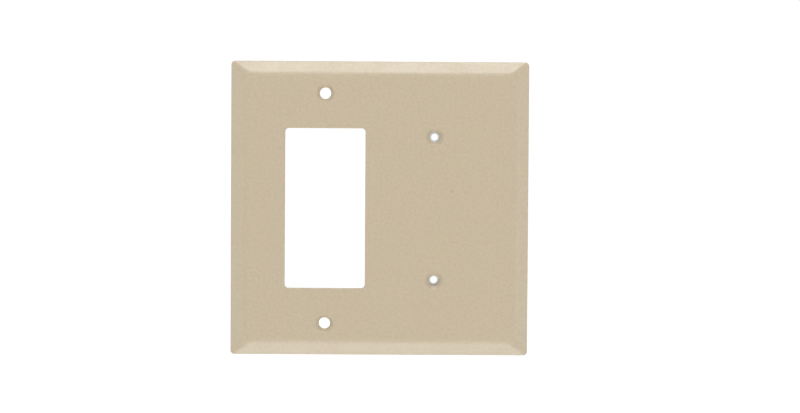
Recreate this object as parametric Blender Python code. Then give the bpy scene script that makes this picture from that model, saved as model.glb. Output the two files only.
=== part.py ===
"""Two-gang wall plate cover with the steel strap that carries its blank gang.

The left gang has a rectangular opening for a rocker-style device. The right gang is
blank and has nothing behind it to screw to, so the cover comes with a mounting strap
that is screwed to the wall box by two captive screws.

Frame: the wall is the plane y = 0, the cover's front faces -Y, +X is to the right of
someone looking at the front, +Z is up, and the origin is the cover's centre on the
wall plane. Units are metres.
"""
import math

import bmesh
import bpy
from mathutils import Matrix, Vector

MM = 0.001
EPS = 0.3 * MM                     # clearance kept between touching pieces

# ---- driving dimensions: the cover
PLATE_W = 125.4 * MM
PLATE_H = 123.8 * MM
PLATE_D = 6.6 * MM                 # wall plane to front face
CORNER_R = 1.7 * MM                # radius of the outline's corners
RIM_D = 3.2 * MM                   # depth of the upright side wall
BEVEL_ANGLE_DEG = 30.0             # slope of the band round the front
SHOULDER_R = 8.0 * MM              # rounding between the slope and the flat front
FRONT_CORNER_R = 4.5 * MM          # radius of the flat front's corners
WALL = 2.3 * MM                    # moulded wall thickness
GANG_PITCH = 46.04 * MM            # standard distance between gang centres
GANG_LEFT_X = -GANG_PITCH / 2
GANG_RIGHT_X = GANG_PITCH / 2

# ---- driving dimensions: the opening and the face-screw holes
OPENING_W = 33.8 * MM
OPENING_H = 67.4 * MM
OPENING_CORNER_R = 1.6 * MM
OPENING_RIM_T = 1.6 * MM           # lip that stands round the opening at the back
OPENING_RIM_D = 2.4 * MM           # how far back that lip reaches from the wall
DEVICE_HOLES = 96.84 * MM          # screw centres of the rocker-style gang
STRAP_HOLES = 60.33 * MM           # screw centres of the blank gang
DEVICE_HOLE_D = 4.8 * MM
STRAP_HOLE_D = 4.3 * MM
COUNTERSINK_D = 7.4 * MM
COUNTERSINK_DEPTH = 1.4 * MM
BOSS_D = 9.6 * MM                  # low boss behind each face-screw hole

# ---- driving dimensions: ribs behind the cover
RIB_T = 1.6 * MM
RIB_D = 1.8 * MM                   # how far the low ribs stand behind the wall
DEVICE_RIB_GAP = 3.4 * MM          # from the opening's lip to the rib beside it
BLANK_RIB_Z = 15.0 * MM            # height of the ribs across the blank gang
CENTRE_RIB_T = 3.0 * MM            # the rib between the gangs reaches the wall plane

# ---- driving dimensions: the strap
STRAP_T = 1.2 * MM
STRAP_H = 106.4 * MM
STRAP_W = 19.0 * MM
EAR_W = 34.0 * MM
EAR_H = 17.0 * MM
EAR_CORNER_R = 2.5 * MM
BOX_HOLES = 83.34 * MM             # centres of the wall box's two screw lugs
SLOT_L = 8.0 * MM
SLOT_W = 4.4 * MM
TAPPED_HOLE_D = 2.9 * MM           # minor diameter of the No. 6-32 thread
COLLAR_D = 5.6 * MM
COLLAR_D_BACK = 5.0 * MM
COLLAR_L = 1.3 * MM                # drawn collar behind each tapped hole
BEAD_W = 5.0 * MM                  # stiffening bead pressed forwards along the middle
BEAD_L = 40.0 * MM
BEAD_D = 0.7 * MM

# ---- driving dimensions: the captive box screws and their washers
SCREW_D = 3.4 * MM
SCREW_L = 25.4 * MM
SCREW_TIP_L = 1.2 * MM
SCREW_TIP_D = 2.2 * MM
HEAD_D = 6.9 * MM
HEAD_H = 1.9 * MM
HEAD_EDGE_H = 1.0 * MM             # upright part of the head below its dome
DRIVE_SLOT_W = 1.0 * MM
DRIVE_SLOT_DEPTH = 0.9 * MM
WASHER_W = 10.0 * MM
WASHER_T = 0.8 * MM
WASHER_HOLE_D = 3.7 * MM
WASHER_CORNER_R = 1.5 * MM

ROUND_STEPS = 32
NEARLY_ROUND = 0.98                # keeps the two arcs of a slot's end from meeting
CORNER_STEPS = 6
SHOULDER_STEPS = 4

COLLECTION_NAME = "wall_plate_cover"


# ---- scene helpers
def clear_scene():
    for thing in list(bpy.data.objects):
        bpy.data.objects.remove(thing, do_unlink=True)


def new_collection(name):
    collection = bpy.data.collections.new(name)
    bpy.context.scene.collection.children.link(collection)
    return collection


def material(name, colour, roughness, metallic):
    mat = bpy.data.materials.new(name)
    mat.use_nodes = True
    shader = mat.node_tree.nodes["Principled BSDF"]
    shader.inputs["Base Color"].default_value = (*colour, 1.0)
    shader.inputs["Roughness"].default_value = roughness
    shader.inputs["Metallic"].default_value = metallic
    return mat


def add_object(name, bm, collection, mat=None):
    bmesh.ops.recalc_face_normals(bm, faces=bm.faces)
    mesh = bpy.data.meshes.new(name)
    bm.to_mesh(mesh)
    bm.free()
    obj = bpy.data.objects.new(name, mesh)
    collection.objects.link(obj)
    if mat is not None:
        mesh.materials.append(mat)
    return obj


def add_cutter(name, bm, collection):
    cutter = add_object(name, bm, collection)
    cutter.hide_render = True
    cutter.display_type = "WIRE"
    return cutter


def boolean(obj, cutter, operation):
    mod = obj.modifiers.new(f"{operation.lower()} {cutter.name}", "BOOLEAN")
    mod.operation = operation
    mod.solver = "EXACT"
    mod.object = cutter


# ---- shape helpers: y runs from front (low) to back (high)
def block(bm, x, z, y_front, y_back, width, height):
    """A box centred on (x, z) between two depths."""
    centre = Vector((x, (y_front + y_back) / 2, z))
    size = (width, y_back - y_front, height, 1.0)
    matrix = Matrix.Translation(centre) @ Matrix.Diagonal(size)
    bmesh.ops.create_cube(bm, size=1.0, matrix=matrix)


def rounded_block(x, z, y_front, y_back, width, height, radius, segments=4):
    """A block whose four edges along Y are rounded."""
    bm = bmesh.new()
    block(bm, x, z, y_front, y_back, width, height)
    upright = [e for e in bm.edges
               if abs(e.verts[0].co.y - e.verts[1].co.y) > (y_back - y_front) / 2]
    bmesh.ops.bevel(bm, geom=upright, offset=radius, segments=segments, profile=0.5,
                    affect="EDGES", material=-1)
    return bm


def cone_along_y(bm, x, z, y_front, y_back, d_front, d_back):
    """A cylinder or cone whose axis runs along Y."""
    turn = Matrix.Rotation(math.radians(90), 4, "X")       # local -Z faces the back
    place = Matrix.Translation((x, (y_front + y_back) / 2, z))
    bmesh.ops.create_cone(bm, cap_ends=True, segments=ROUND_STEPS,
                          radius1=d_back / 2, radius2=d_front / 2,
                          depth=y_back - y_front, matrix=place @ turn)


def rounded_outline(width, height, radius):
    """Points of a rounded rectangle in X and Z, anticlockwise seen from the front."""
    points = []
    for corner, (side_x, side_z) in enumerate([(1, 1), (-1, 1), (-1, -1), (1, -1)]):
        centre_x = side_x * (width / 2 - radius)
        centre_z = side_z * (height / 2 - radius)
        for step in range(CORNER_STEPS + 1):
            angle = math.radians(90) * (corner + step / CORNER_STEPS)
            points.append((centre_x + radius * math.cos(angle),
                           centre_z + radius * math.sin(angle)))
    return points


def loft(rings):
    """A closed solid through outlines given as (y, points), capped at both ends."""
    bm = bmesh.new()
    loops = [[bm.verts.new((x, y, z)) for x, z in points] for y, points in rings]
    for loop in loops:
        for pair in zip(loop, loop[1:] + loop[:1]):
            bm.edges.new(pair)
    for lower, upper in zip(loops, loops[1:]):
        edges = [bm.edges.get(pair) for loop in (lower, upper)
                 for pair in zip(loop, loop[1:] + loop[:1])]
        bmesh.ops.bridge_loops(bm, edges=edges)
    bm.faces.new(loops[0])
    bm.faces.new(loops[-1])
    return bm


def front_profile(shrink):
    """(inset, depth) points from the rim to the flat front: a slope, then an arc.

    The arc meets the slope and the front smoothly. shrink moves it inwards.
    """
    slope = math.radians(BEVEL_ANGLE_DEG)
    depth = PLATE_D - shrink
    rim = RIM_D - shrink / 2
    radius = SHOULDER_R
    corner = (depth - rim) / math.tan(slope)           # where slope and front would meet
    centre = corner + radius * math.tan(slope / 2)     # the arc's centre, inset
    points = [(0, rim)]
    for step in range(SHOULDER_STEPS + 1):
        angle = slope * (1 - step / SHOULDER_STEPS)
        inset = centre - radius * math.sin(angle)
        points.append((inset, depth - radius * (1 - math.cos(angle))))
    return points


def bevelled_slab(shrink, y_back):
    """The cover's outer form, moved inwards by shrink, open depth up to y_back.

    The outline's corners grow rounder as the slope climbs to the front.
    """
    width = PLATE_W - 2 * shrink
    height = PLATE_H - 2 * shrink
    profile = front_profile(shrink)
    last_inset = profile[-1][0]
    rings = [(y_back, rounded_outline(width, height, CORNER_R))]
    for inset, depth in profile:
        radius = CORNER_R + (FRONT_CORNER_R - CORNER_R) * inset / last_inset
        outline = rounded_outline(width - 2 * inset, height - 2 * inset, radius)
        rings.append((-depth, outline))
    return loft(rings)


def screw_places(x, centres):
    return [(x, centres / 2), (x, -centres / 2)]


# ---- the cover
def cavity_cutter(cutters):
    """The hollow behind the cover, less everything that stands in it."""
    cavity = add_cutter("cavity", bevelled_slab(WALL, EPS), cutters)
    inner_y = -(PLATE_D - WALL)
    front_y = -PLATE_D

    keep = bmesh.new()
    block(keep, 0, 0, front_y, 2 * EPS, CENTRE_RIB_T, PLATE_H)
    boolean(cavity, add_cutter("centre_rib", keep, cutters), "DIFFERENCE")

    lip = rounded_block(GANG_LEFT_X, 0, front_y, inner_y + OPENING_RIM_D,
                        OPENING_W + 2 * OPENING_RIM_T, OPENING_H + 2 * OPENING_RIM_T,
                        OPENING_CORNER_R + OPENING_RIM_T)
    boolean(cavity, add_cutter("opening_lip", lip, cutters), "DIFFERENCE")

    for index, (x, z) in enumerate(screw_places(GANG_LEFT_X, DEVICE_HOLES)):
        boss = bmesh.new()
        cone_along_y(boss, x, z, front_y, inner_y + RIB_D, BOSS_D, BOSS_D)
        boolean(cavity, add_cutter(f"device_boss_{index}", boss, cutters), "DIFFERENCE")
    for index, (x, z) in enumerate(screw_places(GANG_RIGHT_X, STRAP_HOLES)):
        boss = bmesh.new()
        cone_along_y(boss, x, z, front_y, -STRAP_T - EPS, BOSS_D, BOSS_D)
        boolean(cavity, add_cutter(f"strap_boss_{index}", boss, cutters), "DIFFERENCE")

    device_rib_z = OPENING_H / 2 + OPENING_RIM_T + DEVICE_RIB_GAP
    for gang_side, rib_z in ((-1, device_rib_z), (1, BLANK_RIB_Z)):
        for side in (1, -1):
            rib = bmesh.new()
            block(rib, gang_side * PLATE_W / 4, side * rib_z, front_y, inner_y + RIB_D,
                  PLATE_W / 2, RIB_T)
            name = f"cross_rib_{gang_side}_{side}"
            boolean(cavity, add_cutter(name, rib, cutters), "DIFFERENCE")
    return cavity


def wall_plate(parts, cutters):
    bm = bevelled_slab(0, 0)
    ivory = material("ivory_moulding", (0.60, 0.50, 0.35), 0.45, 0.0)
    plate = add_object("wall_plate", bm, parts, ivory)
    boolean(plate, cavity_cutter(cutters), "DIFFERENCE")

    through = rounded_block(GANG_LEFT_X, 0, -PLATE_D - EPS, EPS, OPENING_W, OPENING_H,
                            OPENING_CORNER_R)
    boolean(plate, add_cutter("opening", through, cutters), "DIFFERENCE")

    holes = [(x, z, DEVICE_HOLE_D) for x, z in screw_places(GANG_LEFT_X, DEVICE_HOLES)]
    holes += [(x, z, STRAP_HOLE_D) for x, z in screw_places(GANG_RIGHT_X, STRAP_HOLES)]
    for index, (x, z, diameter) in enumerate(holes):
        bore = bmesh.new()
        cone_along_y(bore, x, z, -PLATE_D - EPS, EPS, diameter, diameter)
        boolean(plate, add_cutter(f"screw_hole_{index}", bore, cutters), "DIFFERENCE")
        sink = bmesh.new()
        overshoot = EPS * (COUNTERSINK_D - diameter) / COUNTERSINK_DEPTH
        cone_along_y(sink, x, z, -PLATE_D - EPS, -PLATE_D + COUNTERSINK_DEPTH,
                     COUNTERSINK_D + overshoot, diameter)
        boolean(plate, add_cutter(f"countersink_{index}", sink, cutters), "DIFFERENCE")
    return plate


# ---- the strap
def mounting_strap(parts, cutters):
    steel = material("zinc_plated_steel", (0.62, 0.62, 0.60), 0.32, 1.0)
    spine = rounded_block(GANG_RIGHT_X, 0, -STRAP_T, 0, STRAP_W, STRAP_H - EAR_H,
                          EAR_CORNER_R)
    strap = add_object("mounting_strap", spine, parts, steel)
    for side in (1, -1):
        ear = rounded_block(GANG_RIGHT_X, side * (STRAP_H - EAR_H) / 2, -STRAP_T, 0,
                            EAR_W, EAR_H, EAR_CORNER_R)
        boolean(strap, add_cutter(f"ear_{side}", ear, cutters), "UNION")
    for index, (x, z) in enumerate(screw_places(GANG_RIGHT_X, STRAP_HOLES)):
        collar = bmesh.new()
        cone_along_y(collar, x, z, -STRAP_T / 2, COLLAR_L, COLLAR_D, COLLAR_D_BACK)
        boolean(strap, add_cutter(f"collar_{index}", collar, cutters), "UNION")
    for index, (x, z) in enumerate(screw_places(GANG_RIGHT_X, STRAP_HOLES)):
        tapped = bmesh.new()
        cone_along_y(tapped, x, z, -STRAP_T - EPS, COLLAR_L + EPS, TAPPED_HOLE_D,
                     TAPPED_HOLE_D)
        boolean(strap, add_cutter(f"tapped_hole_{index}", tapped, cutters), "DIFFERENCE")
    for index, (x, z) in enumerate(screw_places(GANG_RIGHT_X, BOX_HOLES)):
        slot = rounded_block(x, z, -STRAP_T - EPS, EPS, SLOT_L, SLOT_W,
                             SLOT_W / 2 * NEARLY_ROUND, segments=8)
        boolean(strap, add_cutter(f"box_slot_{index}", slot, cutters), "DIFFERENCE")
    bead = rounded_block(GANG_RIGHT_X, 0, -STRAP_T - BEAD_D, -STRAP_T / 2, BEAD_W, BEAD_L,
                         BEAD_W / 2 * NEARLY_ROUND, segments=8)
    boolean(strap, add_cutter("bead", bead, cutters), "UNION")
    groove_w = BEAD_W - 2 * BEAD_D
    groove = rounded_block(GANG_RIGHT_X, 0, -BEAD_D, EPS, groove_w,
                           BEAD_L - 2 * BEAD_D, groove_w / 2 * NEARLY_ROUND, segments=8)
    boolean(strap, add_cutter("bead_groove", groove, cutters), "DIFFERENCE")
    return strap


# ---- the captive box screws and their washers
def box_screw(name, x, z, parts, cutters, mat):
    """A dome-headed screw, turned from a profile, with a slot across its head.

    The object's origin is on the screw's axis, under its head.
    """
    head_r = HEAD_D / 2
    dome_h = HEAD_H - HEAD_EDGE_H
    dome_r = (head_r ** 2 + dome_h ** 2) / (2 * dome_h)
    profile = []
    dome_steps = 5
    sweep = math.asin(head_r / dome_r)
    for step in range(dome_steps + 1):
        angle = sweep * step / dome_steps
        height = HEAD_H - dome_r * (1 - math.cos(angle))
        profile.append((dome_r * math.sin(angle), height))
    profile += [(head_r, 0), (SCREW_D / 2, 0), (SCREW_D / 2, SCREW_TIP_L - SCREW_L),
                (SCREW_TIP_D / 2, -SCREW_L), (0, -SCREW_L)]
    bm = bmesh.new()
    verts = [bm.verts.new((radius, 0, height)) for radius, height in profile]
    edges = [bm.edges.new(pair) for pair in zip(verts, verts[1:])]
    bmesh.ops.spin(bm, geom=verts + edges, cent=(0, 0, 0), axis=(0, 0, 1),
                   angle=2 * math.pi, steps=ROUND_STEPS, use_merge=True)
    bmesh.ops.remove_doubles(bm, verts=bm.verts, dist=1e-6)
    screw = add_object(name, bm, parts, mat)
    screw.location = (x, -STRAP_T - EPS, z)
    screw.rotation_euler = (math.radians(90), 0, 0)

    slot = bmesh.new()
    size = (HEAD_D * 1.2, DRIVE_SLOT_W, 2 * DRIVE_SLOT_DEPTH)
    place = Matrix.Translation((0, 0, HEAD_H))
    bmesh.ops.create_cube(slot, size=1.0, matrix=place @ Matrix.Diagonal((*size, 1.0)))
    cutter = add_cutter(f"{name}_drive", slot, cutters)
    cutter.location = screw.location
    cutter.rotation_euler = screw.rotation_euler
    boolean(screw, cutter, "DIFFERENCE")
    return screw


def screw_washer(name, x, z, parts, cutters, mat):
    """The square fibre washer that keeps a box screw in the strap's slot."""
    body = rounded_block(x, z, EPS, EPS + WASHER_T, WASHER_W, WASHER_W, WASHER_CORNER_R)
    washer = add_object(name, body, parts, mat)
    bore = bmesh.new()
    cone_along_y(bore, x, z, 0, WASHER_T + 2 * EPS, WASHER_HOLE_D, WASHER_HOLE_D)
    boolean(washer, add_cutter(f"{name}_hole", bore, cutters), "DIFFERENCE")
    return washer


def main():
    clear_scene()
    parts = new_collection(COLLECTION_NAME)
    cutters = new_collection("cutters")
    wall_plate(parts, cutters)
    mounting_strap(parts, cutters)
    bright = material("zinc_plated_screw", (0.66, 0.65, 0.62), 0.28, 1.0)
    fibre = material("red_fibre", (0.35, 0.09, 0.05), 0.75, 0.0)
    for side, (x, z) in zip(("upper", "lower"), screw_places(GANG_RIGHT_X, BOX_HOLES)):
        box_screw(f"box_screw_{side}", x, z, parts, cutters, bright)
        screw_washer(f"screw_washer_{side}", x, z, parts, cutters, fibre)


main()
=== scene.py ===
# %% [markdown]
# # A wall plate cover, finished for the camera
#
# The object is a two-gang cover for electrical boxes: an ivory moulding with a
# rectangular opening on the left, a blank gang on the right, and behind the blank gang
# a zinc-plated strap with two captive screws. The strap is what the blank gang's screws
# go into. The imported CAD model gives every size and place. This script adds what CAD
# leaves out: rounded lips, screw threads, and materials with real surface detail.

# %% Load the fixed frame
import math

import bmesh
import bpy
from mathutils import Matrix, Vector


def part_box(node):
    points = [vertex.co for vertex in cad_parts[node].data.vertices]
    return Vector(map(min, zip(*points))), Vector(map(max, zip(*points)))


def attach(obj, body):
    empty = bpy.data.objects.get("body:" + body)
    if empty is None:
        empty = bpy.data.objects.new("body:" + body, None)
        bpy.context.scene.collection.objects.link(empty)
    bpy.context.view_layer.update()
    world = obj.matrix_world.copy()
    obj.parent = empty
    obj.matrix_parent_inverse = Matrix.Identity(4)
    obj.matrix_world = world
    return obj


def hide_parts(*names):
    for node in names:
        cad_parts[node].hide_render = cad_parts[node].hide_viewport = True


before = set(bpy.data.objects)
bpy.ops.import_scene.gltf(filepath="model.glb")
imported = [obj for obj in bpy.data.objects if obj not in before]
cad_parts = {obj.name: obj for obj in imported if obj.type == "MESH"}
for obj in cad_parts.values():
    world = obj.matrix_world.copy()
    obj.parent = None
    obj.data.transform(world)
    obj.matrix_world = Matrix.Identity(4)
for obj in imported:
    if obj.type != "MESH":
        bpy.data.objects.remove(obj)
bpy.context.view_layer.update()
MM = 0.001

print("nodes:", sorted(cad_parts))

# %% [markdown]
# ## Sizes from the frame
#
# Every place comes from the box of a CAD node, so nothing has to be fitted afterwards.
# The cover's box gives its width, height and depth. The box screws' boxes give the blank
# gang's centre line, and the other gang lies the same distance on the other side. What a
# box can't show, such as a wall thickness or a hole, is a named value here.

# %% Sizes that the rest of the script uses
plate_low, plate_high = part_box("wall_plate")
PLATE_W = plate_high.x - plate_low.x
PLATE_H = plate_high.z - plate_low.z
PLATE_D = plate_high.y - plate_low.y
FRONT_Y = plate_low.y

screw_low, screw_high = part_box("box_screw_upper")
BLANK_X = (screw_low.x + screw_high.x) / 2
DEVICE_X = -BLANK_X
BOX_SCREW_Z = (screw_low.z + screw_high.z) / 2

WALL = 2.3 * MM                     # thickness of the moulding
FLOOR_Y = FRONT_Y + WALL            # inner face of the front wall
DEVICE_HOLES = 96.84 * MM           # screw centres beside the opening
STRAP_HOLES = 60.33 * MM            # screw centres of the blank gang

print(f"cover {PLATE_W / MM:.1f} x {PLATE_H / MM:.1f} x {PLATE_D / MM:.1f} mm")
print(f"gang centres at x = {DEVICE_X / MM:.2f} and {BLANK_X / MM:.2f} mm")

# %% [markdown]
# ## Outlines and profiles
#
# Almost every piece here is one outline, a rounded rectangle or a circle, swept through
# a profile that says how far it shrinks or grows at each depth. The outline starts as a
# circle, and each point remembers its direction from the middle in a layer that extrusion
# copies along. A rounded rectangle is that circle with its quarters moved apart, so the
# direction alone places a point on any of the outlines. The ring of edges is extruded
# from one profile point to the next, which leaves clean strips of quads with soft, real
# edges. Bevelling after the cuts could do the same, but it fails where cuts leave tiny
# edges, and bridging ready-made rings can twist where two lie in one plane.

# %% Rounding the corners of a profile
def filleted(corners, steps=5):
    """Points along (u, v, radius) corners, each corner replaced by a tangent arc.

    A corner of radius 0 stays sharp. The first and last corners are only ends.
    """
    points = [Vector(corners[0][:2])]
    for before, corner, after in zip(corners, corners[1:], corners[2:]):
        here = Vector(corner[:2])
        if corner[2] == 0:
            points.append(here)
            continue
        back = (Vector(before[:2]) - here).normalized()
        ahead = (Vector(after[:2]) - here).normalized()
        half = back.angle(ahead) / 2
        centre = here + (back + ahead).normalized() * corner[2] / math.sin(half)
        arm = here + back * corner[2] / math.tan(half) - centre
        turn = math.pi - 2 * half
        if back.x * ahead.y - back.y * ahead.x > 0:
            turn = -turn
        for step in range(steps + 1):
            spin = Matrix.Rotation(turn * step / steps, 2)
            points.append(centre + spin @ arm)
    points.append(Vector(corners[-1][:2]))
    return points


# %% A solid swept from an outline
LEAST_RADIUS = 0.05 * MM


def swept(x, z, width, height, radius, profile, steps=10, corner=None):
    """A closed solid: an outline extruded through (outset, y) profile points.

    Its corners follow the outset, as an offset curve does, unless corner(outset) says
    otherwise.
    """
    bm = bmesh.new()
    upright = Matrix.Rotation(math.radians(90), 4, "X")
    half_step = Matrix.Rotation(math.pi / (4 * steps), 4, "Z")
    bmesh.ops.create_circle(bm, segments=4 * steps, radius=1, matrix=upright @ half_step)
    direction = bm.verts.layers.float_vector.new("direction")
    for vert in bm.verts:
        vert[direction] = vert.co

    def move_to(verts, outset, y):
        rounding = corner(outset) if corner else max(radius + outset, LEAST_RADIUS)
        for vert in verts:
            way = vert[direction]
            side_x = math.copysign(width / 2 + outset - rounding, way.x)
            side_z = math.copysign(height / 2 + outset - rounding, way.z)
            vert.co = (x + side_x + rounding * way.x, y, z + side_z + rounding * way.z)

    move_to(bm.verts, *profile[0])
    edges = bm.edges[:]
    ends = [edges]
    for outset, y in profile[1:]:
        grown = bmesh.ops.extrude_edge_only(bm, edges=edges)["geom"]
        edges = [item for item in grown if isinstance(item, bmesh.types.BMEdge)]
        move_to([item for item in grown if isinstance(item, bmesh.types.BMVert)], outset, y)
    ends.append(edges)
    for end in ends:
        bmesh.ops.edgeloop_fill(bm, edges=end)
    bm.verts.layers.float_vector.remove(direction)
    bmesh.ops.recalc_face_normals(bm, faces=bm.faces)
    return bm


# %% [markdown]
# ## Objects and cuts
#
# A finished piece is one object at the origin with its place in its mesh, the way the
# CAD nodes are. Cuts are Boolean modifiers with the exact solver. They are applied at
# once and their cutters thrown away, so that later steps see plain meshes. Flat faces
# that meet a rounded edge need their normals weighted by area, or a long thin shadow
# would run across them, so each piece ends with a Weighted Normal modifier.

# %% Helpers that make, cut and finish an object
def new_object(name, bm):
    """Put a bmesh into a new object at the origin, and free the bmesh."""
    mesh = bpy.data.meshes.new(name)
    bm.to_mesh(mesh)
    bm.free()
    obj = bpy.data.objects.new(name, mesh)
    bpy.context.scene.collection.objects.link(obj)
    return obj


def combine(obj, others, operation):
    """Cut or join bmesh solids into obj one by one, each applied at once and tidied."""
    for solid in others:
        cutter = new_object("cutter", solid)
        mod = obj.modifiers.new("cut", "BOOLEAN")
        mod.operation = operation
        mod.solver = "EXACT"
        mod.object = cutter
        depsgraph = bpy.context.evaluated_depsgraph_get()
        old = obj.data
        cut = bpy.data.meshes.new_from_object(obj.evaluated_get(depsgraph))
        obj.modifiers.clear()
        obj.data = cut
        bpy.data.meshes.remove(old)
        bpy.data.objects.remove(cutter)
        bm = bmesh.new()
        bm.from_mesh(cut)
        bmesh.ops.remove_doubles(bm, verts=bm.verts, dist=1e-6)
        bmesh.ops.dissolve_degenerate(bm, edges=bm.edges, dist=1e-6)
        bm.to_mesh(cut)
        bm.free()
    obj.data.name = obj.name


def open_edges(obj):
    """How many edges don't have exactly two faces: 0 for a closed solid."""
    bm = bmesh.new()
    bm.from_mesh(obj.data)
    count = sum(1 for edge in bm.edges if len(edge.link_faces) != 2)
    bm.free()
    return count


def finish_piece(obj, material, node, body, crease_deg=28):
    """Shade a piece, give it its material, and put it in place of its CAD node."""
    bm = bmesh.new()
    bm.from_mesh(obj.data)
    bmesh.ops.remove_doubles(bm, verts=bm.verts, dist=1e-6)
    bmesh.ops.recalc_face_normals(bm, faces=bm.faces)
    bm.to_mesh(obj.data)
    bm.free()
    obj.data.shade_smooth()
    obj.data.set_sharp_from_angle(angle=math.radians(crease_deg))
    weighted = obj.modifiers.new("weighted normals", "WEIGHTED_NORMAL")
    weighted.keep_sharp = True
    weighted.weight = 100
    obj.data.materials.clear()
    obj.data.materials.append(material)
    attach(obj, body)
    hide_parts(node)
    print(f"{obj.name}: {len(obj.data.polygons)} faces, {open_edges(obj)} open edges, "
          f"stands for {node}")


# %% [markdown]
# ## Surface detail, as node groups
#
# Three effects turn up in more than one material. *Mottle* is two sizes of noise mixed
# into one value around a half: a moulding's faint clouds, the spangle of zinc, the grain
# of fibre board. *Specks* are small dark inclusions, sparse and irregular, from Voronoi
# cells of which only some are kept. *Draw lines* are noise stretched along one axis, as
# rolling leaves them in sheet steel. Each is a node group, built once, read from Object
# coordinates so it stays put on the piece in every view.

# %% A small builder for node trees
def node(tree, kind, inputs=None, **settings):
    """Add a node. Each of its inputs gets a value, or a link from a socket."""
    made = tree.nodes.new(kind)
    for name, value in settings.items():
        setattr(made, name, value)
    for name, value in (inputs or {}).items():
        if isinstance(value, bpy.types.NodeSocket):
            tree.links.new(value, made.inputs[name])
        else:
            made.inputs[name].default_value = value
    return made


def group_with(name, inputs, outputs):
    """A shader node group: inputs are (name, type, default), outputs (name, type)."""
    tree = bpy.data.node_groups.new(name, "ShaderNodeTree")
    for socket_name, kind, default in inputs:
        socket = tree.interface.new_socket(socket_name, in_out="INPUT", socket_type=kind)
        if default is not None:
            socket.default_value = default
    for socket_name, kind in outputs:
        tree.interface.new_socket(socket_name, in_out="OUTPUT", socket_type=kind)
    entry = tree.nodes.new("NodeGroupInput")
    leave = tree.nodes.new("NodeGroupOutput")
    return tree, entry.outputs, leave.inputs


FLOAT = "NodeSocketFloat"
VECTOR = "NodeSocketVector"

# %% Mottle: two sizes of noise around a half
mottle, given, out = group_with("mottle",
                                [("Vector", VECTOR, None), ("Scale", FLOAT, 300.0),
                                 ("Contrast", FLOAT, 1.0)], [("Value", FLOAT)])
cloud = node(mottle, "ShaderNodeTexNoise", {"Vector": given["Vector"],
                                            "Scale": given["Scale"], "Detail": 3.0})
finer = node(mottle, "ShaderNodeMath", {0: given["Scale"], 1: 4.3}, operation="MULTIPLY")
grain = node(mottle, "ShaderNodeTexNoise", {"Vector": given["Vector"],
                                            "Scale": finer.outputs[0], "Detail": 2.0})
both = node(mottle, "ShaderNodeMath", {0: cloud.outputs["Fac"], 1: grain.outputs["Fac"]},
            operation="ADD")
centred = node(mottle, "ShaderNodeMath", {0: both.outputs[0], 1: -1.0}, operation="ADD")
widened = node(mottle, "ShaderNodeMath", {0: centred.outputs[0], 1: given["Contrast"],
                                          2: 0.5}, operation="MULTIPLY_ADD")
mottle.links.new(widened.outputs[0], out["Value"])

# %% Specks: a few small dark inclusions
specks, given, out = group_with("specks",
                                [("Vector", VECTOR, None), ("Scale", FLOAT, 90.0),
                                 ("Radius", FLOAT, 0.05), ("Share", FLOAT, 0.3)],
                                [("Mask", FLOAT)])
cells = node(specks, "ShaderNodeTexVoronoi", {"Vector": given["Vector"],
                                              "Scale": given["Scale"]})
chosen = node(specks, "ShaderNodeSeparateColor", {"Color": cells.outputs["Color"]})
kept = node(specks, "ShaderNodeMath", {0: chosen.outputs["Red"], 1: given["Share"]},
            operation="LESS_THAN")
size = node(specks, "ShaderNodeMath", {0: chosen.outputs["Green"], 1: given["Radius"]},
            operation="MULTIPLY")
spot = node(specks, "ShaderNodeMapRange", {"Value": cells.outputs["Distance"],
                                           "From Min": size.outputs[0], "From Max": 0.0})
masked = node(specks, "ShaderNodeMath", {0: spot.outputs["Result"], 1: kept.outputs[0]},
              operation="MULTIPLY")
specks.links.new(masked.outputs[0], out["Mask"])

# %% Draw lines: noise stretched along Z
lines, given, out = group_with("draw_lines", [("Vector", VECTOR, None),
                                              ("Scale", FLOAT, 2500.0)], [("Value", FLOAT)])
stretch = node(lines, "ShaderNodeMapping", {"Vector": given["Vector"],
                                            "Scale": (1.0, 1.0, 0.012)})
streak = node(lines, "ShaderNodeTexNoise", {"Vector": stretch.outputs["Vector"],
                                            "Scale": given["Scale"], "Detail": 4.0})
lines.links.new(streak.outputs["Fac"], out["Value"])
print("node groups:", [group.name for group in bpy.data.node_groups])


# %% [markdown]
# ## The ivory moulding
#
# Covers like this are pressed from a thermoset powder that is coloured right through.
# It comes out satin, a little uneven in tone, with an orange-peel surface far too fine
# to see as bumps, but which softens every highlight. So the colour is a mix of two close
# ivories steered by the mottle, darkened at the specks. The same clouds move roughness a
# little, and two heights of bump give the broad ripple and the fine peel.

# %% Helpers for a Principled material
def principled(name):
    """A new material: it, its tree, its shader's inputs and its Object coordinates."""
    material = bpy.data.materials.new(name)
    material.use_nodes = True
    tree = material.node_tree
    place = tree.nodes.new("ShaderNodeTexCoord").outputs["Object"]
    return material, tree, tree.nodes["Principled BSDF"].inputs, place


def use_group(tree, group, **inputs):
    """Place a node group in a material with its own values."""
    return node(tree, "ShaderNodeGroup", inputs, node_tree=group)


def remap(tree, value, low, high):
    """Turn a value around a half, 0.2 to 0.8, into low to high."""
    ranged = node(tree, "ShaderNodeMapRange", {"Value": value, "From Min": 0.2,
                                               "From Max": 0.8, "To Min": low,
                                               "To Max": high})
    return ranged.outputs["Result"]


def mix_colours(tree, factor, first, second):
    """The colour between first and second, each a colour or another node's output."""
    mixed = node(tree, "ShaderNodeMix", {"Factor": factor}, data_type="RGBA")
    for index, colour in ((6, first), (7, second)):
        if isinstance(colour, bpy.types.NodeSocket):
            tree.links.new(colour, mixed.inputs[index])
        else:
            mixed.inputs[index].default_value = (*colour, 1.0)
    return mixed.outputs[2]


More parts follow.
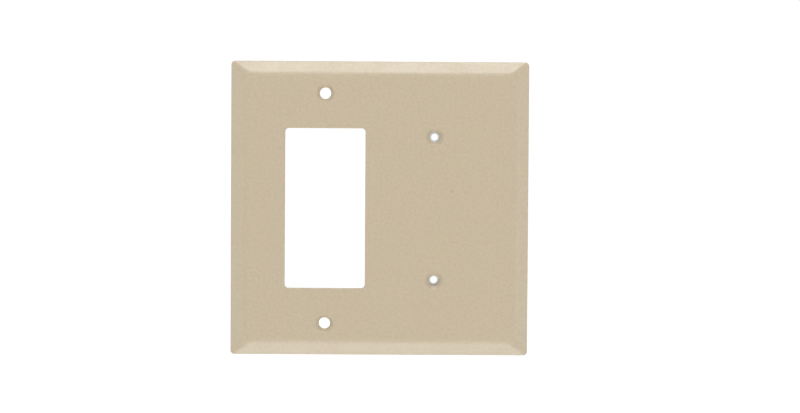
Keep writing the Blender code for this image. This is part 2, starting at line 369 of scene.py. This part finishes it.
def bump(tree, height, strength, distance, normal=None):
    """Turn a height into a normal, on top of another normal if one is given."""
    made = node(tree, "ShaderNodeBump", {"Height": height, "Strength": strength,
                                         "Distance": distance})
    if normal is not None:
        tree.links.new(normal, made.inputs["Normal"])
    return made.outputs["Normal"]


# %% Ivory
IVORY_YELLOW = (0.428, 0.362, 0.248)
IVORY_PINK = (0.432, 0.356, 0.254)
IVORY_SPECK = (0.250, 0.200, 0.125)
GRAIN_DEPTH = 0.05

ivory, tree, shader, place = principled("ivory thermoset")
clouds = use_group(tree, mottle, Vector=place, Scale=70.0, Contrast=1.6)
grain = use_group(tree, mottle, Vector=place, Scale=900.0, Contrast=1.6)
peel = use_group(tree, mottle, Vector=place, Scale=1500.0, Contrast=1.0)
inclusions = use_group(tree, specks, Vector=place, Scale=75.0, Radius=0.08, Share=0.30)
tone = mix_colours(tree, clouds.outputs["Value"], IVORY_YELLOW, IVORY_PINK)
grained = remap(tree, grain.outputs["Value"], 1 - GRAIN_DEPTH, 1 + GRAIN_DEPTH)
tone = node(tree, "ShaderNodeVectorMath", {0: tone, 1: grained}, operation="MULTIPLY")
tone = mix_colours(tree, inclusions.outputs["Mask"], tone.outputs[0], IVORY_SPECK)
tree.links.new(tone, shader["Base Color"])
tree.links.new(remap(tree, clouds.outputs["Value"], 0.31, 0.37), shader["Roughness"])
rippled = bump(tree, clouds.outputs["Value"], 0.10, 0.04 * MM)
peeled = bump(tree, peel.outputs["Value"], 0.25, 0.02 * MM, rippled)
tree.links.new(peeled, shader["Normal"])
shader["IOR"].default_value = 1.55


# %% [markdown]
# ## Zinc plate and fibre
#
# The strap is cold-rolled steel with bright zinc on it. Zinc is nearly a mirror with a
# bluish tint, broken up by the rolling lines below it and by a soft spangle. The screws
# carry the same finish without the lines, a little yellower. The washers are vulcanised
# fibre: matte, brick red, with a fuzzy grain.

# %% Zinc, for the strap and for the screws
def zinc(name, light, dark, rough_low, rough_high, line_strength):
    """Zinc plate: spangle moves its tone and roughness, rolling lines its normal."""
    material, tree, shader, place = principled(name)
    spangle = use_group(tree, mottle, Vector=place, Scale=380.0, Contrast=2.2)
    drawn = use_group(tree, lines, Vector=place)
    tone = mix_colours(tree, spangle.outputs["Value"], dark, light)
    tree.links.new(tone, shader["Base Color"])
    shader["Metallic"].default_value = 1.0
    tree.links.new(remap(tree, spangle.outputs["Value"], rough_low, rough_high),
                   shader["Roughness"])
    rolled = bump(tree, drawn.outputs["Value"], line_strength, 0.02 * MM)
    tree.links.new(rolled, shader["Normal"])
    return material


strap_zinc = zinc("bright zinc", (0.91, 0.92, 0.93), (0.79, 0.81, 0.83),
                  0.12, 0.26, 0.12)
screw_zinc = zinc("screw zinc", (0.86, 0.85, 0.80), (0.70, 0.69, 0.66),
                  0.16, 0.32, 0.05)

# %% Fibre
FIBRE_DARK = (0.230, 0.045, 0.025)
FIBRE_LIGHT = (0.360, 0.085, 0.045)

fibre, tree, shader, place = principled("vulcanised fibre")
grain = use_group(tree, mottle, Vector=place, Scale=900.0, Contrast=2.0)
tone = mix_colours(tree, grain.outputs["Value"], FIBRE_DARK, FIBRE_LIGHT)
tree.links.new(tone, shader["Base Color"])
tree.links.new(remap(tree, grain.outputs["Value"], 0.65, 0.90), shader["Roughness"])
tree.links.new(bump(tree, grain.outputs["Value"], 0.5, 0.05 * MM), shader["Normal"])
print("materials:", [m.name for m in (ivory, strap_zinc, screw_zinc, fibre)])


# %% [markdown]
# ## The moulding's outside
#
# Seen from the side the cover is an upright rim, a slope of thirty degrees, and a flat
# front, with a broad soft shoulder between slope and front. That shoulder is what makes
# the light band round the front fade instead of stopping at a line. The outline's
# corners are small arcs that open slightly as the slope climbs.

# %% The outside as one swept outline
CORNER_R = 1.7 * MM
FRONT_CORNER_R = 4.5 * MM
RIM_D = 3.2 * MM
BEVEL_ANGLE = math.radians(30)
SHOULDER_R = 8.0 * MM
RIM_EDGE_R = 0.5 * MM


def slab(shrink, start, edge_r, shoulder_r):
    """The cover's form moved in by shrink, from given (outset, y) corners at the back."""
    rim_y = -(RIM_D - shrink / 2)
    front_y = FRONT_Y + shrink
    reach = (rim_y - front_y) / math.tan(BEVEL_ANGLE)

    def corner(outset):
        climbed = min(max(-outset / reach, 0), 1)
        return CORNER_R + (FRONT_CORNER_R - CORNER_R) * climbed

    profile = filleted(start + [(0, rim_y, edge_r), (-reach, front_y, shoulder_r),
                                (-reach - 12 * MM, front_y, 0)], steps=8)
    return swept(0, 0, PLATE_W - 2 * shrink, PLATE_H - 2 * shrink, CORNER_R, profile[:-1],
                 corner=corner)


BACK_EDGE_R = 0.25 * MM
outside = slab(0, [(-1.0 * MM, 0, 0), (0, 0, BACK_EDGE_R)], RIM_EDGE_R, SHOULDER_R)
plate = new_object("cover_moulding", outside)
print("outside:", len(plate.data.polygons), "faces")


# %% [markdown]
# ## The hollow and what stands in it
#
# The back is a shallow tray. In it stand a lip round the opening, low ribs, a boss at
# each screw hole, and between the gangs a rib that reaches the wall. Rather than adding
# them, the tray's cutter is made first and they are taken out of it, so the one cut that
# hollows the cover leaves them standing in one piece with it, like the real moulding.
# Their free edges are rounded, and their feet flare out as a mould needs.

# %% The tray, and the solids that stay in it
FLARE = 0.35 * MM                   # how far the tray widens at the wall
EDGE_R = 0.3 * MM                   # rounding of the free edges
FOOT = 0.4 * MM                     # how far a rib's foot spreads


def standing(x, z, width, height, radius, top_y, foot=FOOT, steps=8):
    """A rib, lip or boss standing on the tray's floor, rounded at its free edge."""
    profile = filleted([(foot, FRONT_Y + WALL / 2, 0), (foot, FLOOR_Y, foot / 2),
                        (0, FLOOR_Y + foot, foot), (0, top_y, EDGE_R),
                        (-min(width, height) / 2, top_y, 0)], steps=4)
    return swept(x, z, width, height, radius, profile[:-1], steps)


RIB_T = 1.6 * MM
RIB_TOP = FLOOR_Y + 1.8 * MM
CENTRE_RIB_T = 3.0 * MM
LIP_T = 1.6 * MM
LIP_TOP = FLOOR_Y + 2.4 * MM
OPENING_W = 33.8 * MM
OPENING_H = 67.4 * MM
OPENING_CORNER_R = 1.6 * MM
BOSS_D = 9.6 * MM
STRAP_BOSS_TOP = -1.5 * MM
DEVICE_RIB_Z = OPENING_H / 2 + LIP_T + 3.4 * MM
BLANK_RIB_Z = 15.0 * MM

tray = new_object("tray", slab(WALL, [(1.2 * MM, FLARE, 0), (0, -0.12 * MM, EDGE_R)],
                               0.6 * MM, 7.0 * MM))
centre_rib = filleted([(FOOT, FRONT_Y + WALL / 2, 0), (FOOT, FLOOR_Y, FOOT / 2),
                       (0, FLOOR_Y + FOOT, FOOT), (0, -0.15 * MM, EDGE_R),
                       (-3 * FLARE, 2 * FLARE, 0)], steps=4)
solids = [swept(0, 0, CENTRE_RIB_T, PLATE_H, RIB_T, centre_rib, 8)]
solids.append(standing(DEVICE_X, 0, OPENING_W + 2 * LIP_T, OPENING_H + 2 * LIP_T,
                       OPENING_CORNER_R + LIP_T, LIP_TOP))
for z in (DEVICE_HOLES / 2, -DEVICE_HOLES / 2):
    solids.append(standing(DEVICE_X, z, BOSS_D, BOSS_D, BOSS_D / 2, RIB_TOP, steps=12))
for z in (STRAP_HOLES / 2, -STRAP_HOLES / 2):
    solids.append(standing(BLANK_X, z, BOSS_D, BOSS_D, BOSS_D / 2, STRAP_BOSS_TOP,
                           steps=12))
for side in (1, -1):
    solids.append(standing(-PLATE_W / 4, side * DEVICE_RIB_Z, PLATE_W / 2, RIB_T,
                           RIB_T / 2.2, RIB_TOP))
    solids.append(standing(PLATE_W / 4, side * BLANK_RIB_Z, PLATE_W / 2, RIB_T,
                           RIB_T / 2.2, RIB_TOP))
combine(tray, solids, "DIFFERENCE")
print("tray cutter:", len(tray.data.polygons), "faces")

# %% Cut the tray, the opening and the screw holes
def eased(x, z, width, height, radius, corners, steps=10):
    """A swept solid whose profile corners are rounded first."""
    return swept(x, z, width, height, radius, filleted(corners, steps=6), steps)


DEVICE_HOLE_D = 4.8 * MM
STRAP_HOLE_D = 4.3 * MM
COUNTERSINK_D = 7.4 * MM
COUNTERSINK_DEPTH = 1.4 * MM


def screw_hole(x, z, diameter, boss_top):
    """A bore with a countersink, its lips eased at the front and behind the boss."""
    spread = (COUNTERSINK_D - diameter) / 2
    return eased(x, z, diameter, diameter, diameter / 2,
                 [(spread + 0.9 * MM, FRONT_Y - 0.2 * MM, 0),
                  (spread, FRONT_Y + 0.02 * MM, 0.25 * MM),
                  (0, FRONT_Y + COUNTERSINK_DEPTH, 0.3 * MM),
                  (0, boss_top - 0.06 * MM, 0.2 * MM),
                  (0.6 * MM, boss_top + 0.3 * MM, 0)], 12)


cuts = [eased(DEVICE_X, 0, OPENING_W, OPENING_H, OPENING_CORNER_R,
              [(0.9 * MM, FRONT_Y - 0.35 * MM, 0), (0, FRONT_Y + 0.05 * MM, 0.3 * MM),
               (0, LIP_TOP - 0.06 * MM, 0.25 * MM), (0.6 * MM, LIP_TOP + 0.3 * MM, 0)])]
for side in (1, -1):
    cuts.append(screw_hole(DEVICE_X, side * DEVICE_HOLES / 2, DEVICE_HOLE_D, RIB_TOP))
    cuts.append(screw_hole(BLANK_X, side * STRAP_HOLES / 2, STRAP_HOLE_D,
                           STRAP_BOSS_TOP))

bm = bmesh.new()
bm.from_mesh(tray.data)
bpy.data.objects.remove(tray)
combine(plate, [bm] + cuts, "DIFFERENCE")
finish_piece(plate, ivory, "wall_plate", "cover")


# %% [markdown]
# ## The strap
#
# The strap is stamped from sheet. Its outline starts as a grid of three by three cells:
# two cells are dropped, which leaves the shape of an I, the rest merges into one face, and
# the corners are rounded, more on the outside than in the notches. The face is then
# pulled out to the sheet's thickness and its rim eased. The slots, the drawn collars with
# their tapped bores, and the bead along the middle come after, with flared cutters.

# %% The strap's blank
strap_low, strap_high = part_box("mounting_strap")
STRAP_H = strap_high.z - strap_low.z
EAR_W = strap_high.x - strap_low.x
EAR_H = 17.0 * MM
STRAP_W = 19.0 * MM
STRAP_T = 1.2 * MM
EAR_CORNER_R = 2.5 * MM
NOTCH_R = 2.0 * MM
COLLAR_L = strap_high.y
BEAD_D = -STRAP_T - strap_low.y

bm = bmesh.new()
upright = Matrix.Rotation(math.radians(90), 4, "X")
bmesh.ops.create_grid(bm, x_segments=3, y_segments=3, size=1.5, matrix=upright)
for vert in bm.verts:
    outer_x = EAR_W / 2 if abs(vert.co.x) > 1 else STRAP_W / 2
    outer_z = STRAP_H / 2 if abs(vert.co.z) > 1 else STRAP_H / 2 - EAR_H
    vert.co.x = math.copysign(outer_x, vert.co.x)
    vert.co.z = math.copysign(outer_z, vert.co.z)
dropped = [face for face in bm.faces
           if abs(face.calc_center_median().x) > STRAP_W / 2
           and abs(face.calc_center_median().z) < STRAP_H / 4]
bmesh.ops.delete(bm, geom=dropped, context="FACES")
bmesh.ops.dissolve_faces(bm, faces=bm.faces[:])
straight = [vert for vert in bm.verts
            if abs((vert.link_edges[0].other_vert(vert).co - vert.co).normalized().dot(
                (vert.link_edges[1].other_vert(vert).co - vert.co).normalized())) > 0.9]
bmesh.ops.dissolve_verts(bm, verts=straight)
notches = [vert for vert in bm.verts if abs(vert.co.x) < EAR_W / 2 - 0.1 * MM]
corners = [vert for vert in bm.verts if vert not in notches]
for verts, radius in ((corners, EAR_CORNER_R), (notches, NOTCH_R)):
    bmesh.ops.bevel(bm, geom=verts, affect="VERTICES", offset=radius, segments=8,
                    profile=0.5, material=-1)
bmesh.ops.translate(bm, verts=bm.verts, vec=(BLANK_X, 0, 0))
pulled = bmesh.ops.extrude_face_region(bm, geom=bm.faces[:])
front_verts = [item for item in pulled["geom"] if isinstance(item, bmesh.types.BMVert)]
bmesh.ops.translate(bm, verts=front_verts, vec=(0, -STRAP_T, 0))
bmesh.ops.recalc_face_normals(bm, faces=bm.faces)
rims = [edge for edge in bm.edges if abs(edge.verts[0].co.y - edge.verts[1].co.y) < 1e-7]
bmesh.ops.bevel(bm, geom=rims, affect="EDGES", offset=0.12 * MM, segments=2, profile=0.5,
                material=-1)
strap = new_object("mounting_strap_zinc", bm)
print("strap blank:", len(strap.data.polygons), "faces")

# %% Collars, bead, slots and bores
COLLAR_D = 5.6 * MM
TAPPED_HOLE_D = 2.9 * MM
BEAD_W = 5.0 * MM
BEAD_L = 40.0 * MM
SLOT_L = 8.0 * MM
SLOT_W = 4.4 * MM

added = [eased(BLANK_X, 0, BEAD_W, BEAD_L, BEAD_W / 2 * 0.98,
               [(0.9 * MM, -STRAP_T / 2, 0), (0.9 * MM, 0.02 * MM - STRAP_T, 0),
                (0, 0.02 * MM - STRAP_T, 0.4 * MM),
                (-0.6 * MM, -STRAP_T - BEAD_D, 0.5 * MM),
                (-2.2 * MM, -STRAP_T - BEAD_D, 0)])]
for side in (1, -1):
    added.append(eased(BLANK_X, side * STRAP_HOLES / 2, COLLAR_D, COLLAR_D, COLLAR_D / 2,
                       [(0.8 * MM, -STRAP_T / 2, 0), (0.8 * MM, -0.02 * MM, 0),
                        (0, -0.02 * MM, 0.4 * MM), (-0.35 * MM, COLLAR_L + 0.3 * MM, 0)],
                       12))
combine(strap, added, "UNION")

removed = [eased(BLANK_X, 0, BEAD_W, BEAD_L, BEAD_W / 2 * 0.98,
                 [(0.0 * MM, 0.15 * MM, 0), (-0.5 * MM, -0.02 * MM, 0.3 * MM),
                  (-1.1 * MM, -BEAD_D, 0.5 * MM), (-2.2 * MM, -BEAD_D, 0)])]
for side in (1, -1):
    removed.append(eased(BLANK_X, side * STRAP_HOLES / 2, TAPPED_HOLE_D, TAPPED_HOLE_D,
                         TAPPED_HOLE_D / 2,
                         [(0.35 * MM, -STRAP_T - 0.2 * MM, 0),
                          (0, 0.1 * MM - STRAP_T, 0.15 * MM), (0, COLLAR_L, 0.15 * MM),
                          (0.9 * MM, COLLAR_L, 0.1 * MM),
                          (1.3 * MM, COLLAR_L - 0.4 * MM, 0),
                          (1.6 * MM, COLLAR_L - 0.4 * MM, 0),
                          (1.6 * MM, COLLAR_L + 0.6 * MM, 0)], 12))
    removed.append(eased(BLANK_X, side * BOX_SCREW_Z, SLOT_L, SLOT_W, SLOT_W / 2 * 0.98,
                         [(0.25 * MM, -STRAP_T - 0.12 * MM, 0),
                          (0, 0.06 * MM - STRAP_T, 0.12 * MM),
                          (0, -0.06 * MM, 0.12 * MM), (0.25 * MM, 0.12 * MM, 0)]))
combine(strap, removed, "DIFFERENCE")
finish_piece(strap, strap_zinc, "mounting_strap", "strap")


# %% [markdown]
# ## Box screws and washers
#
# The box screws are rolled No. 6-32, the thread of every box lug. One pitch of the thread
# is drawn as an open line of edges and spun round the axis with a steady advance, so that
# each turn ends where the next begins, and merging the doubles closes the helix. It is
# cut off flat under the head and at the tip, tapered there, and joined to a turned head
# with a driver slot. The washers are punched from fibre sheet, so their edges are only
# just eased.

# %% One screw, on its axis
SCREW_R = 1.7 * MM
ROOT_R = 1.3 * MM
PITCH = 25.4 * MM / 32
TIP_L = 1.2 * MM
TIP_SCALE = 0.65
HEAD_R = (screw_high.x - screw_low.x) / 2
HEAD_H = 1.9 * MM
HEAD_EDGE_H = 1.0 * MM
UNDER_HEAD_Y = screw_low.y + HEAD_H
SCREW_END_Y = screw_high.y
TURN_STEPS = 24


def threaded_shank(x, z):
    """One pitch of thread spun and advanced, cut off at both ends, tapered to the tip."""
    bm = bmesh.new()
    start_y = UNDER_HEAD_Y - 2 * PITCH
    outline = [(ROOT_R, 0), (ROOT_R, 0.12), (SCREW_R, 0.44), (SCREW_R, 0.60), (ROOT_R, 1)]
    verts = [bm.verts.new((x + radius, start_y + share * PITCH, z))
             for radius, share in outline]
    edges = [bm.edges.new(pair) for pair in zip(verts, verts[1:])]
    turns = math.ceil((SCREW_END_Y - start_y) / PITCH) + 1
    bmesh.ops.spin(bm, geom=verts + edges, cent=(x, 0, z), axis=(0, 1, 0),
                   dvec=(0, PITCH / TURN_STEPS, 0), angle=2 * math.pi * turns,
                   steps=TURN_STEPS * turns, use_merge=False)
    bmesh.ops.remove_doubles(bm, verts=bm.verts, dist=2e-6)
    for place_y, facing in ((UNDER_HEAD_Y - 0.3 * MM, -1), (SCREW_END_Y, 1)):
        everything = bm.verts[:] + bm.edges[:] + bm.faces[:]
        cut = bmesh.ops.bisect_plane(bm, geom=everything, plane_co=(0, place_y, 0),
                                     plane_no=(0, facing, 0), clear_outer=True)
        loop = [item for item in cut["geom_cut"] if isinstance(item, bmesh.types.BMEdge)]
        bmesh.ops.edgeloop_fill(bm, edges=loop)
    for vert in bm.verts:
        into_tip = max(vert.co.y - (SCREW_END_Y - TIP_L), 0) / TIP_L
        shrink = 1 - (1 - TIP_SCALE) * into_tip
        vert.co.x = x + (vert.co.x - x) * shrink
        vert.co.z = z + (vert.co.z - z) * shrink
    bmesh.ops.recalc_face_normals(bm, faces=bm.faces)
    return bm


def screw_head(x, z):
    """A turned head: a straight edge below a low dome."""
    dome_h = HEAD_H - HEAD_EDGE_H
    dome_r = (HEAD_R ** 2 + dome_h ** 2) / (2 * dome_h)
    sweep = math.asin(HEAD_R / dome_r)
    corners = [(SCREW_R - HEAD_R, UNDER_HEAD_Y, 0), (0, UNDER_HEAD_Y, 0.15 * MM),
               (0, UNDER_HEAD_Y - HEAD_EDGE_H, 0.25 * MM)]
    for step in range(8, 0, -1):
        angle = sweep * step / 9
        corners.append((dome_r * math.sin(angle) - HEAD_R,
                        UNDER_HEAD_Y - HEAD_H + dome_r * (1 - math.cos(angle)), 0))
    return swept(x, z, 2 * HEAD_R, 2 * HEAD_R, HEAD_R, filleted(corners), 10)


def driver_slot(x, z):
    """The cutter for the slot across the head."""
    return swept(x, z, 2.6 * HEAD_R, 1.0 * MM, 0.1 * MM,
                 [(0, UNDER_HEAD_Y - HEAD_H - 1 * MM),
                  (0, UNDER_HEAD_Y - HEAD_H + 0.9 * MM)], 2)


print(f"thread: {2 * SCREW_R / MM:.1f} mm wide, pitch {PITCH / MM:.2f} mm")


# %% Both screws and both washers
washer_low, washer_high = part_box("screw_washer_upper")
WASHER_W = washer_high.x - washer_low.x
WASHER_CORNER_R = 1.5 * MM
WASHER_BORE_D = 3.7 * MM
EASE = 0.1 * MM

for end, side in (("upper", 1), ("lower", -1)):
    z = side * BOX_SCREW_Z
    screw = new_object(f"box_screw_{end}_threaded", screw_head(BLANK_X, z))
    combine(screw, [threaded_shank(BLANK_X, z)], "UNION")
    combine(screw, [driver_slot(BLANK_X, z)], "DIFFERENCE")
    finish_piece(screw, screw_zinc, f"box_screw_{end}", f"{end}_screw",
                 crease_deg=35)

    blank = eased(BLANK_X, z, WASHER_W, WASHER_W, WASHER_CORNER_R,
                  [(-1 * MM, washer_low.y, 0), (0, washer_low.y, EASE),
                   (0, washer_high.y, EASE), (-1 * MM, washer_high.y, 0)])
    bore = eased(BLANK_X, z, WASHER_BORE_D, WASHER_BORE_D, WASHER_BORE_D / 2,
                 [(0.3 * MM, washer_low.y - 0.1 * MM, 0), (0, washer_low.y + EASE, EASE),
                  (0, washer_high.y - EASE, EASE), (0.3 * MM, washer_high.y + 0.1 * MM, 0)],
                 12)
    washer = new_object(f"screw_washer_{end}_fibre", blank)
    combine(washer, [bore], "DIFFERENCE")
    finish_piece(washer, fibre, f"screw_washer_{end}", f"{end}_washer")


# %% [markdown]
# ## Light, floor and camera
#
# The cover stands upright in front of white and is lit softly from all round: a pale room,
# a little brighter above than below, gives the flat front its even tone. The upper slope
# mirrors a softbox high in front and the lower slope a wider one low in front, so both
# read lighter than the front. Two weak ones at the sides keep the side slopes as light as
# the front, and one behind gives the ribs and the strap some shape from the back. A wall
# that is to look white needs more light than the room can give without washing out the
# zinc, so what the camera sees directly, of the room and of the floor, is set apart from
# what lights the cover. The floor is well below, so no shadow falls on the cover.

# %% World
scene = bpy.context.scene
world = bpy.data.worlds.new("white room")
world.use_nodes = True
scene.world = world
ROOM_BELOW, ROOM_ABOVE = 0.62, 0.86   # how strongly the room lights from each end
BACKDROP = 1.05                       # how bright it is to the camera

tree = world.node_tree
background = tree.nodes["Background"]
background.inputs["Color"].default_value = (1.0, 1.0, 1.0, 1.0)
sight = node(tree, "ShaderNodeTexCoord").outputs["Generated"]
height = node(tree, "ShaderNodeSeparateXYZ", {0: sight}).outputs["Z"]
room = node(tree, "ShaderNodeMapRange", {"Value": height, "From Min": -1.0,
                                         "From Max": 1.0, "To Min": ROOM_BELOW,
                                         "To Max": ROOM_ABOVE})
seen = node(tree, "ShaderNodeLightPath").outputs["Is Camera Ray"]
strength = node(tree, "ShaderNodeMapRange", {"Value": seen, "To Max": BACKDROP})
tree.links.new(room.outputs["Result"], strength.inputs["To Min"])
tree.links.new(strength.outputs["Result"], background.inputs["Strength"])
print("room light:", ROOM_BELOW, "to", ROOM_ABOVE, "and backdrop", BACKDROP)


# %% Softboxes
def softbox(name, place, size, power):
    """A rectangular soft light aimed at the cover."""
    light = bpy.data.lights.new(name, "AREA")
    light.shape = "RECTANGLE"
    light.size, light.size_y = size
    light.energy = power
    holder = bpy.data.objects.new(name, light)
    holder.location = place
    holder.rotation_mode = "QUATERNION"
    holder.rotation_quaternion = (-Vector(place)).to_track_quat("-Z", "Y")
    holder.visible_camera = False
    scene.collection.objects.link(holder)
    return holder


def in_front(elevation, distance, x=0.0):
    """A place that many degrees above the level in front; past 90 it lies behind."""
    angle = math.radians(elevation)
    return Vector((x, -distance * math.cos(angle), distance * math.sin(angle)))


BOX_DISTANCE = 0.9
SIDE_X, SIDE_Y = 0.78, -0.45

softbox("upper softbox", in_front(62, BOX_DISTANCE), (0.60, 0.30), 3.75)
softbox("lower softbox", in_front(-60, BOX_DISTANCE), (0.60, 0.56), 3.1)
softbox("left softbox", (-SIDE_X, SIDE_Y, 0), (0.30, 0.80), 0.85)
softbox("right softbox", (SIDE_X, SIDE_Y, 0), (0.30, 0.80), 1.05)
softbox("back softbox", in_front(128, 0.95, 0.25), (0.60, 0.40), 1.5)

# %% Floor
FLOOR_Z = -1.2
GLOW, GLOW_SEEN = 0.08, 0.32          # glow as light, and as the camera sees it

bm = bmesh.new()
bmesh.ops.create_grid(bm, x_segments=1, y_segments=1, size=20.0)
bmesh.ops.translate(bm, verts=bm.verts, vec=(0, 0, FLOOR_Z))
floor = new_object("floor", bm)
floor_material, tree, shader, place = principled("pale_floor")
shader["Base Color"].default_value = (0.95, 0.95, 0.95, 1.0)
shader["Roughness"].default_value = 0.9
shader["Emission Color"].default_value = (1.0, 1.0, 1.0, 1.0)
seen = node(tree, "ShaderNodeLightPath").outputs["Is Camera Ray"]
glow = node(tree, "ShaderNodeMapRange", {"Value": seen, "To Min": GLOW,
                                         "To Max": GLOW_SEEN})
tree.links.new(glow.outputs["Result"], shader["Emission Strength"])
floor.data.materials.append(floor_material)
print("floor at", FLOOR_Z, "m")

# %% Camera and picture settings
CAMERA_DISTANCE = 1.0
VIEW_WIDTH = 0.3363                 # what the picture spans at the cover's front
CAMERA_ELEVATION = math.radians(2.1)
CAMERA_AZIMUTH = math.radians(-0.6)
CAMERA_ROLL = math.radians(0.35)
AIM = Vector((8.55 * MM, FRONT_Y, 1.0 * MM))
back = Vector((math.sin(CAMERA_AZIMUTH),
               -math.cos(CAMERA_AZIMUTH) * math.cos(CAMERA_ELEVATION),
               math.sin(CAMERA_ELEVATION)))

camera = bpy.data.cameras.new("camera")
camera.sensor_width = 36.0
camera.lens = camera.sensor_width * CAMERA_DISTANCE / VIEW_WIDTH
camera.clip_start, camera.clip_end = 0.05, 100
holder = bpy.data.objects.new("camera", camera)
holder.location = AIM + back * CAMERA_DISTANCE
facing = (-back).to_track_quat("-Z", "Y").to_matrix()
roll = Matrix.Rotation(CAMERA_ROLL, 3, "Z")
holder.rotation_euler = (facing @ roll).to_euler()
scene.collection.objects.link(holder)
scene.camera = holder

scene.view_settings.view_transform = "Standard"
scene.view_settings.look = "None"
print(f"camera: {CAMERA_DISTANCE} m away, lens {camera.lens:.0f} mm")
